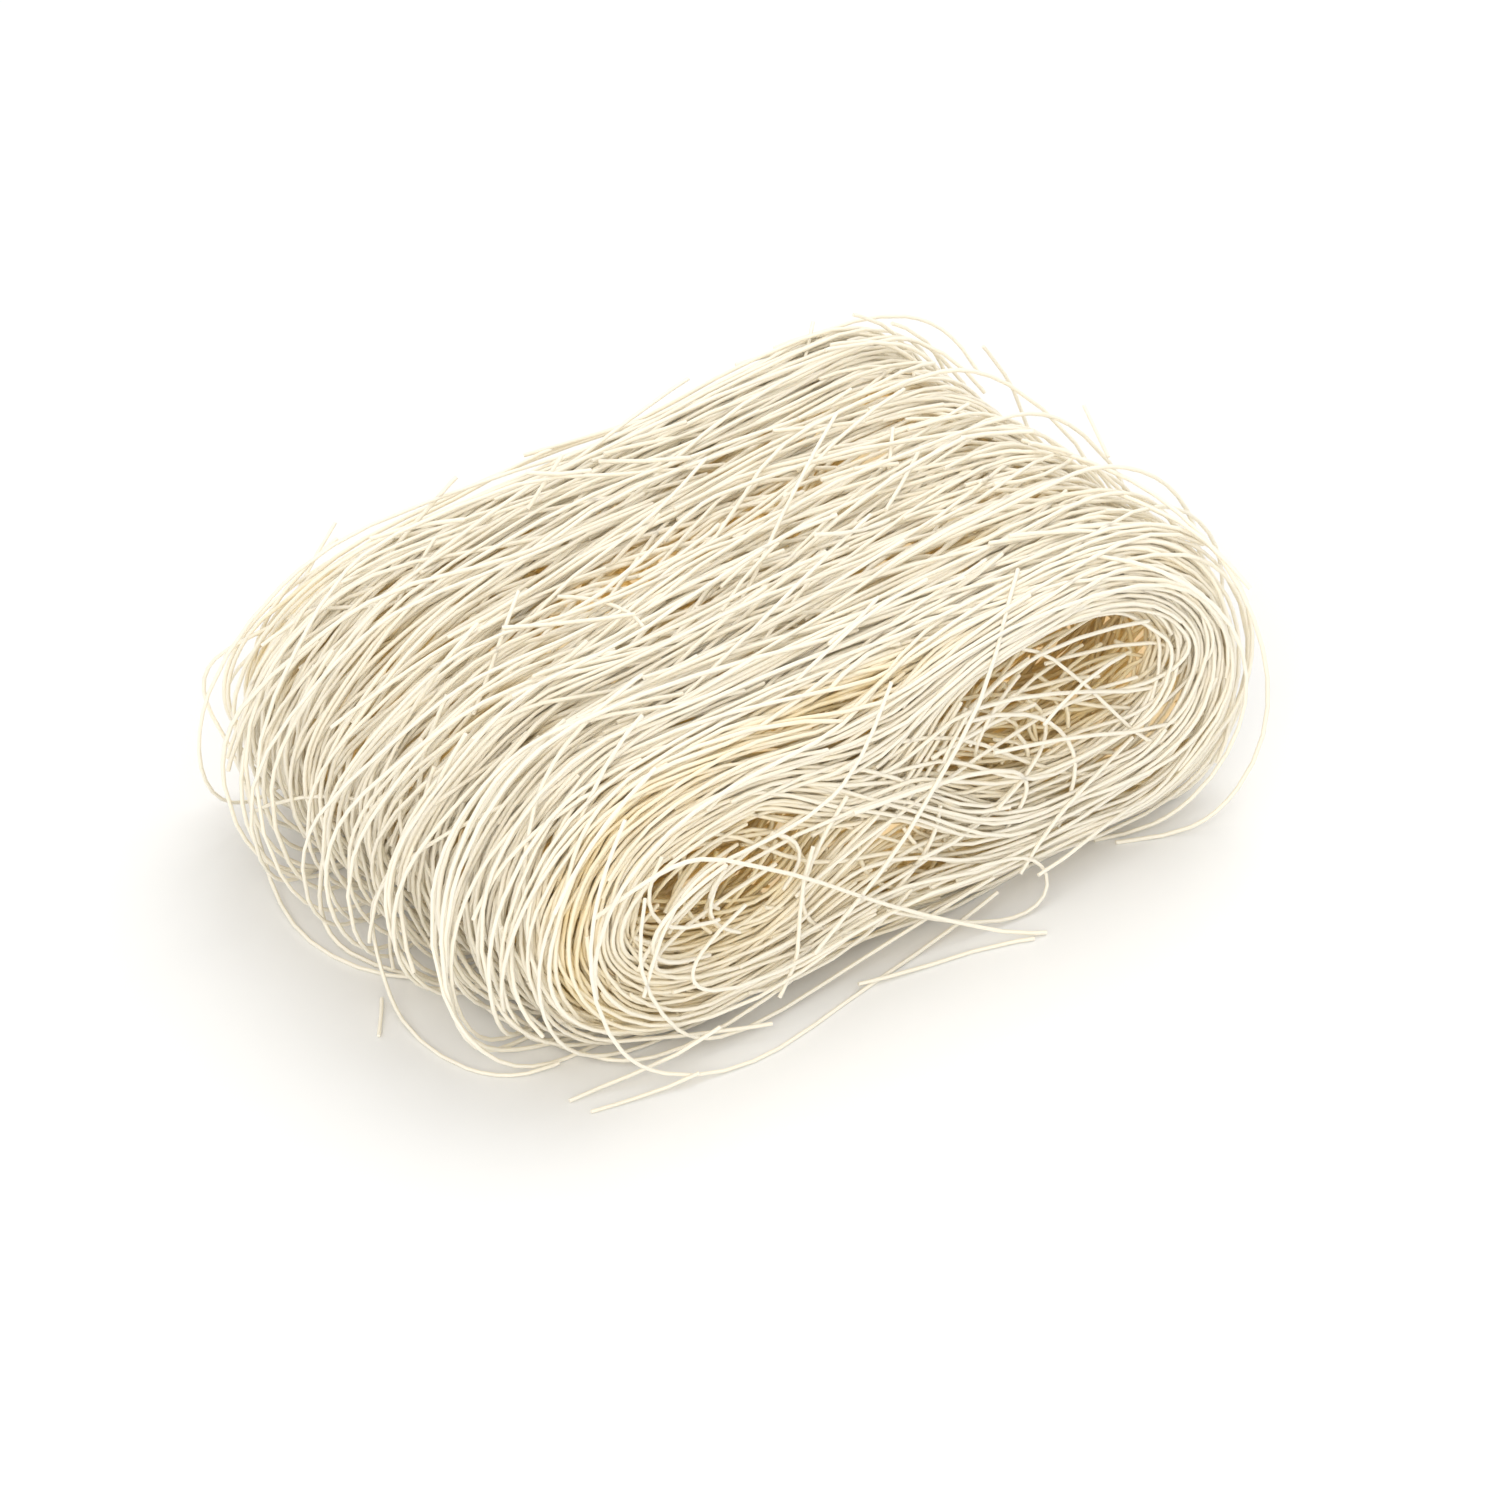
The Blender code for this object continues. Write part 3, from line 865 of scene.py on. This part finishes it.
def core_material():
    """Strands packed too close to tell apart: streaks of painted golden shade along the turns, and a
    painted glow standing in for the light that comes through the strands round the core.
    """
    material = bpy.data.materials.new("packed_strands_painted_glow")
    material.use_nodes = True
    nodes, links = material.node_tree.nodes, material.node_tree.links
    shader = nodes["Principled BSDF"]
    flow = nodes.new("ShaderNodeAttribute")
    flow.attribute_name = "flow"
    streak = nodes.new("ShaderNodeTexNoise")
    streak.inputs["Scale"].default_value = 1.2
    streak.inputs["Detail"].default_value = 3.0
    links.new(flow.outputs["Vector"], streak.inputs["Vector"])
    # Painted shade: gold and cream streaks on the core
    painted_shade_tone = nodes.new("ShaderNodeMix")
    painted_shade_tone.data_type = "RGBA"
    painted_shade_tone.inputs["A"].default_value = (*SHADE_GOLD, 1)
    painted_shade_tone.inputs["B"].default_value = (*CREAM, 1)
    links.new(streak.outputs["Fac"], painted_shade_tone.inputs["Factor"])
    links.new(painted_shade_tone.outputs["Result"], shader.inputs["Base Color"])
    ridge = nodes.new("ShaderNodeBump")
    ridge.inputs["Strength"].default_value = 0.8
    ridge.inputs["Distance"].default_value = STRAND * MM / 2
    links.new(streak.outputs["Fac"], ridge.inputs["Height"])
    links.new(ridge.outputs["Normal"], shader.inputs["Normal"])
    shader.inputs["Roughness"].default_value = 0.6
    # Painted glow: the core gives off light, standing in for the light that comes through the strands
    # round it
    shader.inputs["Emission Color"].default_value = (*PAINTED_GLOW, 1)
    shader.inputs["Emission Strength"].default_value = PAINTED_GLOW_STRENGTH
    return material


# Floor, light and camera
def add_floor():
    mesh = bpy.data.meshes.new("floor")
    corners = [(x * FLOOR_SIZE, y * FLOOR_SIZE, 0) for x, y in ((-1, -1), (1, -1), (1, 1), (-1, 1))]
    mesh.from_pydata(corners, [], [(0, 1, 2, 3)])
    floor = bpy.data.objects.new("floor", mesh)
    bpy.context.scene.collection.objects.link(floor)
    material = bpy.data.materials.new("pale_floor")
    material.use_nodes = True
    shader = material.node_tree.nodes["Principled BSDF"]
    shader.inputs["Base Color"].default_value = (*FLOOR_COLOUR, 1)
    shader.inputs["Roughness"].default_value = 0.6
    mesh.materials.append(material)


def direction(azimuth, elevation):
    """Unit vector to where a light or the camera stands; azimuth 0 is in front, 90 to the right."""
    a, e = math.radians(azimuth), math.radians(elevation)
    return Vector((math.sin(a) * math.cos(e), -math.cos(a) * math.cos(e), math.sin(e)))


def add_light(name, azimuth, elevation, distance, size, power, colour):
    light = bpy.data.lights.new(name, "AREA")
    light.shape = "DISK"
    light.size = size
    light.energy = power
    light.color = colour
    obj = bpy.data.objects.new(name, light)
    bpy.context.scene.collection.objects.link(obj)
    away = direction(azimuth, elevation)
    obj.location = away * distance
    obj.rotation_euler = away.to_track_quat("Z", "Y").to_euler()


def add_lights():
    world = bpy.data.worlds.new("studio")
    world.use_nodes = True
    background = world.node_tree.nodes["Background"]
    background.inputs["Color"].default_value = (*SKY, 1)
    background.inputs["Strength"].default_value = SKY_STRENGTH
    bpy.context.scene.world = world
    for name, sizes in LIGHTS.items():
        add_light(name, *sizes)


def add_camera():
    back = direction(CAMERA_AZIMUTH, CAMERA_ELEVATION)
    camera = bpy.data.cameras.new("camera")
    camera.lens = CAMERA_LENS
    obj = bpy.data.objects.new("camera", camera)
    obj.location = CAMERA_TARGET + back * CAMERA_DISTANCE
    obj.rotation_euler = back.to_track_quat("Z", "Y").to_euler()
    bpy.context.scene.collection.objects.link(obj)
    bpy.context.scene.camera = obj


def main():
    rng = np.random.default_rng(SEED)
    waves = clump_waves(rng)
    kinds = {
        "turns": hank_strands(rng, waves),
        "face_strands": face_strands(rng, waves) + face_bows(rng),
        "crossing_strands": crossing_strands(rng, waves),
        "loose_strands": loose_strands(rng, waves) + wisps(rng, waves) + spilled_strands(rng, waves),
        "nest_strands": nest_strands(rng),
        "stray_strands": [through(places) for places in STRAYS.values()],
    }
    lengths = [len(strands) for strands in kinds.values()]
    strands = settled([strand for strands in kinds.values() for strand in strands], SETTLING_ROUNDS)
    places = np.cumsum([0, *lengths])
    kinds = {name: strands[a:b] for name, a, b in zip(kinds, places, places[1:])}
    kinds["broken_bits"] = broken_bits(rng, strands)
    turns = kinds.pop("turns")
    for k in range(TURN_PIECES):
        kinds[f"turns_{k + 1}"] = turns[k::TURN_PIECES]
    middle = core(waves)
    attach(middle, "root")
    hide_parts("vermicelli_bundle")
    material = vermicelli_material("dried_vermicelli")
    for number, (name, strands) in enumerate(kinds.items()):
        thickness = (STRAND if name.startswith("turns") else LOOSE_STRAND) * MM
        piece = swept(name, strands, material, {"Thickness": thickness, "Seed": number}, 1000 * number)
        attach(piece, "root")
        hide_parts("vermicelli_bundle")
    add_floor()
    add_lights()
    add_camera()
    bpy.context.scene.view_settings.view_transform = "Standard"


main()
